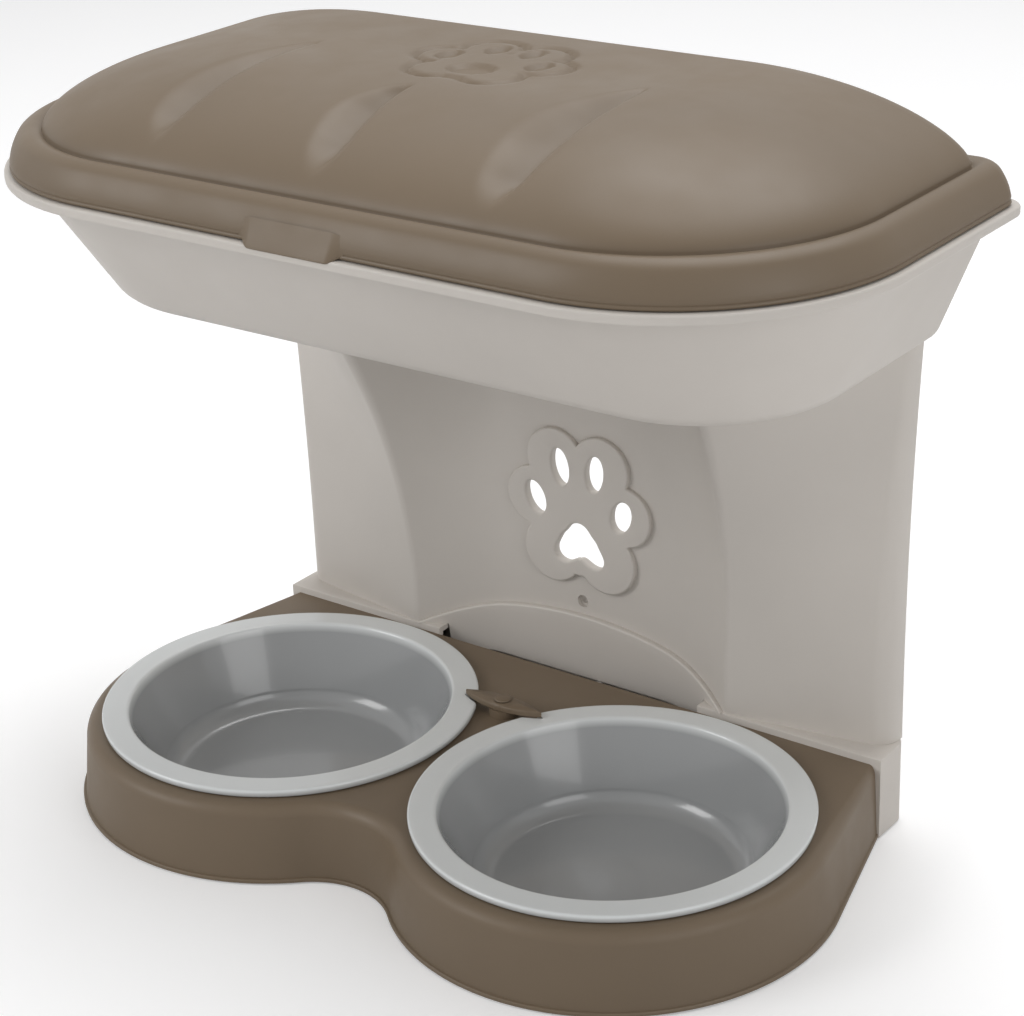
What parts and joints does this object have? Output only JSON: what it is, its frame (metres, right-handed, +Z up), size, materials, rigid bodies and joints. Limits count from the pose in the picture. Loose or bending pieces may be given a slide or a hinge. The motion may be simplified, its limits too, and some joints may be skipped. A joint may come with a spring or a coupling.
{
  "type": "elevated dog feeder with storage",
  "caption": "Dog feeder with lift-out bowls in a brown tray and a lidded food bin carried above them on a pale column with a paw print.",
  "frame": {"origin": "on the floor, in the middle of the footprint's box", "axes": "+X right for someone who faces the bowls, +Y to the back, +Z up"},
  "size_m": [0.49, 0.2628, 0.388],
  "materials": {
    "brown_plastic": "fine satin grain",
    "beige_plastic": "fine satin grain",
    "bowl_plastic": "glossy",
    "steel": "bright zinc plated",
    "rubber": "matte"
  },
  "bodies": {
    "base": {"bowl_tray": "brown_plastic", "latch_pin": "brown_plastic", "column_foot": "beige_plastic", "column": "beige_plastic", "paw_plate": "beige_plastic", "storage_bin": "beige_plastic", "lid_hinge_pin_left": "steel", "lid_hinge_pin_right": "steel", "tray_screws": "steel", "foot_screws": "steel", "bin_screws": "steel", "tray_pads": "rubber", "foot_pads": "rubber"},
    "lid": {"lid": "brown_plastic"},
    "bowl_left": {"bowl_left": "bowl_plastic"},
    "bowl_right": {"bowl_right": "bowl_plastic"},
    "latch": {"bowl_latch": "brown_plastic"}
  },
  "joints": [
    {"name": "lid_hinge", "type": "hinge", "parent": "base", "child": "lid", "pos_m": [0, 0.1254, 0.34], "axis": [-1, 0, 0], "range_deg": [0, 100]},
    {"name": "bowl_left_lift", "type": "slide", "parent": "base", "child": "bowl_left", "axis": [0, 0, 1], "range_m": [0, 0.08]},
    {"name": "bowl_right_lift", "type": "slide", "parent": "base", "child": "bowl_right", "axis": [0, 0, 1], "range_m": [0, 0.08]},
    {"name": "latch_turn", "type": "hinge", "parent": "base", "child": "latch", "pos_m": [0, 0.0334, 0.048], "axis": [0, 0, 1], "range_deg": [0, 90]}
  ]
}
